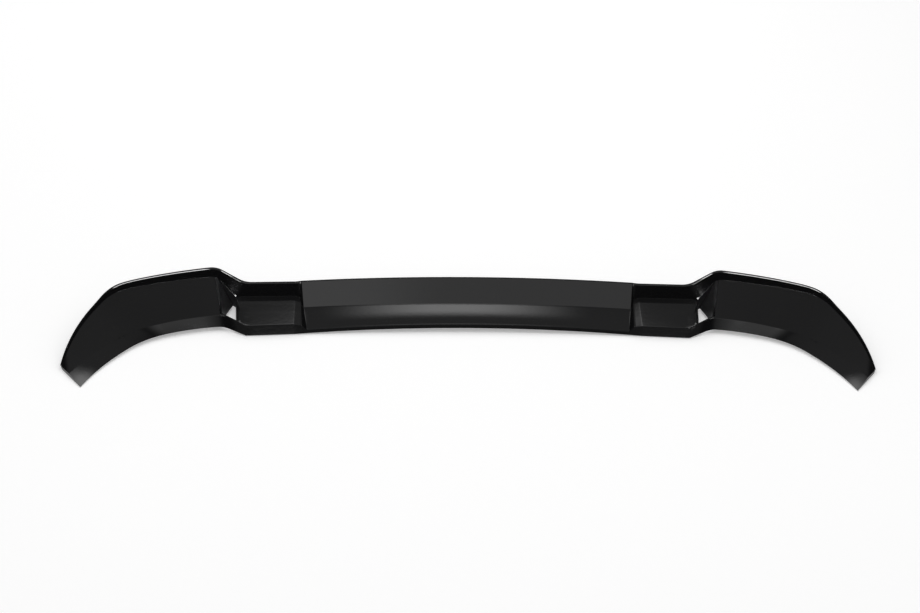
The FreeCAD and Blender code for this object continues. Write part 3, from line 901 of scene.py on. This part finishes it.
class SPOILER_OT_stage(bpy.types.Operator):
    """Set the floor, the soft studio light and the camera"""
    bl_idname = "spoiler.stage"
    bl_label = "Build Stage"

    def execute(self, context):
        scene = context.scene
        settings = scene.spoiler_stage
        scene.view_settings.view_transform = "Standard"
        self.floor(scene)
        self.world(scene, settings)
        for lamp in LAMPS:
            light = bpy.data.lights.new(lamp.name, "AREA")
            light.shape = "RECTANGLE"
            light.size, light.size_y = lamp.width, lamp.depth
            light.energy = lamp.level * math.pi * lamp.width * lamp.depth
            panel = bpy.data.objects.new(lamp.name, light)
            panel.location, panel.rotation_euler = lamp.place, (math.radians(lamp.tilt), 0, 0)
            panel.visible_glossy = False
            scene.collection.objects.link(panel)
        self.camera(scene, settings)
        return {"FINISHED"}

    def floor(self, scene):
        mesh = bpy.data.meshes.new("Floor")
        half = FLOOR_HALF
        corners = [(-half, -half, 0), (half, -half, 0), (half, half, 0), (-half, half, 0)]
        mesh.from_pydata(corners, [], [(0, 1, 2, 3)])
        floor = bpy.data.objects.new("Floor", mesh)
        floor.location.z = -FLOOR_GAP
        scene.collection.objects.link(floor)
        material = bpy.data.materials.new("White Floor")
        material.use_nodes = True
        tree = material.node_tree
        shader = tree.nodes["Principled BSDF"]
        shader.inputs["Base Color"].default_value = (FLOOR_TONE, FLOOR_TONE, FLOOR_TONE, 1)
        shader.inputs["Roughness"].default_value = FLOOR_ROUGHNESS
        shader.inputs["Specular IOR Level"].default_value = 0.0
        shader.inputs["Emission Color"].default_value = (1, 1, 1, 1)
        rays = node(tree, "ShaderNodeLightPath", (-700, -200))
        seen = node(tree, "ShaderNodeMath", (-500, -200), operation="MAXIMUM")
        link(tree, rays, "Is Camera Ray", seen, 0)
        link(tree, rays, "Is Glossy Ray", seen, 1)
        more = node(tree, "ShaderNodeMath", (-300, -200), operation="MAXIMUM")
        link(tree, seen, "Value", more, 0)
        link(tree, rays, "Is Transmission Ray", more, 1)
        level = node(tree, "ShaderNodeMath", (-150, -200), operation="MULTIPLY", inputs={1: FLOOR_GLOW})
        link(tree, more, "Value", level, 0)
        link(tree, level, "Value", shader, "Emission Strength")
        # from below the floor is clear, so that the underside can be seen
        shape = node(tree, "ShaderNodeNewGeometry", (0, 300))
        clear = node(tree, "ShaderNodeBsdfTransparent", (0, -450))
        sides = node(tree, "ShaderNodeMixShader", (300, 0))
        link(tree, shape, "Backfacing", sides, 0)
        link(tree, shader, "BSDF", sides, 1)
        link(tree, clear, "BSDF", sides, 2)
        link(tree, sides, "Shader", tree.nodes["Material Output"], "Surface")
        mesh.materials.append(material)

    def world(self, scene, settings):
        """A studio that is white for the camera and even for diffuse light, and shows reflections the sum of
        the soft boxes."""
        world = bpy.data.worlds.new("Studio")
        world.use_nodes = True
        tree = world.node_tree
        ground = tree.nodes["Background"]
        coords = node(tree, "ShaderNodeTexCoord", (-1700, 0))
        way = node(tree, "ShaderNodeSeparateXYZ", (-1500, 0))
        link(tree, coords, "Generated", way, "Vector")
        front = node(tree, "ShaderNodeMath", (-1300, -100), operation="MULTIPLY", inputs={1: -1.0})
        link(tree, way, "Y", front, 0)
        angle = node(tree, "ShaderNodeMath", (-1100, 0), operation="ARCTAN2")
        link(tree, way, "Z", angle, 0)
        link(tree, front, "Value", angle, 1)
        total = None
        for row, box in enumerate(STUDIO):
            y = 300 - 400 * row
            low, high = math.radians(box.low), math.radians(box.high)
            edges = (
                (angle, "Value", low - math.radians(box.low_edge), low),
                (angle, "Value", high + math.radians(box.high_edge), high),
                (way, "X", box.left - box.side_edge, box.left),
                (way, "X", box.right + box.side_edge, box.right),
            )
            panel = node(tree, "ShaderNodeValue", (-900, y), label=box.name)
            panel.outputs[0].default_value = box.level
            for column, (source, out, dark, full) in enumerate(edges):
                at = (-900 + 160 * column, y - 150)
                soft = node(tree, "ShaderNodeMapRange", at, interpolation_type="SMOOTHSTEP")
                soft.inputs["From Min"].default_value = dark
                soft.inputs["From Max"].default_value = full
                link(tree, source, out, soft, "Value")
                panel = joined(tree, (-740 + 160 * column, y), "MULTIPLY", panel, soft)
            total = panel if total is None else joined(tree, (-100, y), "ADD", total, panel)
        rays = node(tree, "ShaderNodeLightPath", (-350, 500))
        even = {FLOAT_A: settings.ambient}
        mirrored = node(tree, "ShaderNodeMix", (50, 100), data_type="FLOAT", inputs=even)
        link(tree, total, "Value", mirrored, FLOAT_B)
        link(tree, rays, "Is Glossy Ray", mirrored, FACTOR)
        seen = node(tree, "ShaderNodeMix", (250, 100), data_type="FLOAT", inputs={FLOAT_B: 1.0})
        link(tree, rays, "Is Camera Ray", seen, FACTOR)
        link(tree, mirrored, FLOAT_OUT, seen, FLOAT_A)
        ground.inputs["Color"].default_value = (1, 1, 1, 1)
        link(tree, seen, FLOAT_OUT, ground, "Strength")
        scene.world = world

    def camera(self, scene, settings):
        data = bpy.data.cameras.new("Camera")
        camera = bpy.data.objects.new("Camera", data)
        az, el, roll = settings.azimuth, settings.elevation, settings.roll
        back = Vector((math.sin(az) * math.cos(el), -math.cos(az) * math.cos(el), math.sin(el)))
        right = Vector((math.cos(az), math.sin(az), 0))
        up = back.cross(right)
        side = right * math.cos(roll) + up * math.sin(roll)
        top = up * math.cos(roll) - right * math.sin(roll)
        target = in_metres(Vector(TARGET))
        matrix = Matrix((side, top, back)).transposed().to_4x4()
        matrix.translation = target + back * settings.distance
        camera.matrix_world = matrix
        data.lens = settings.lens
        data.sensor_width = SENSOR_WIDTH
        data.clip_end = VIEW_END
        data.shift_x = SHIFT_X_PX / PICTURE_WIDTH_PX
        data.shift_y = SHIFT_Y_PX / PICTURE_WIDTH_PX
        scene.collection.objects.link(camera)
        scene.camera = camera


class SPOILER_PT_panel(bpy.types.Panel):
    """Sidebar panel with the settings of the spoiler"""
    bl_idname = "SPOILER_PT_panel"
    bl_label = "Spoiler"
    bl_space_type = "VIEW_3D"
    bl_region_type = "UI"
    bl_category = "Spoiler"

    def draw(self, context):
        for operator, name in (("shell", "skin"), ("tapes", "tape"), ("stage", "stage")):
            box = self.layout.box()
            settings = getattr(context.scene, "spoiler_" + name)
            for prop in settings.bl_rna.properties:
                if prop.identifier not in ("rna_type", "name"):
                    box.prop(settings, prop.identifier)
            box.operator("spoiler." + operator)


CLASSES = (
    SpoilerSkinSettings, SpoilerTapeSettings, SpoilerStageSettings,
    SPOILER_OT_shell, SPOILER_OT_tapes, SPOILER_OT_stage, SPOILER_PT_panel,
)


def register():
    for kind in CLASSES:
        bpy.utils.register_class(kind)
    bpy.types.Scene.spoiler_skin = bpy.props.PointerProperty(type=SpoilerSkinSettings)
    bpy.types.Scene.spoiler_tape = bpy.props.PointerProperty(type=SpoilerTapeSettings)
    bpy.types.Scene.spoiler_stage = bpy.props.PointerProperty(type=SpoilerStageSettings)


def unregister():
    for name in ("spoiler_skin", "spoiler_tape", "spoiler_stage"):
        delattr(bpy.types.Scene, name)
    for kind in reversed(CLASSES):
        bpy.utils.unregister_class(kind)


def main():
    register()
    bpy.ops.spoiler.shell()
    bpy.ops.spoiler.tapes()
    bpy.ops.spoiler.stage()


if __name__ == "__main__":
    main()
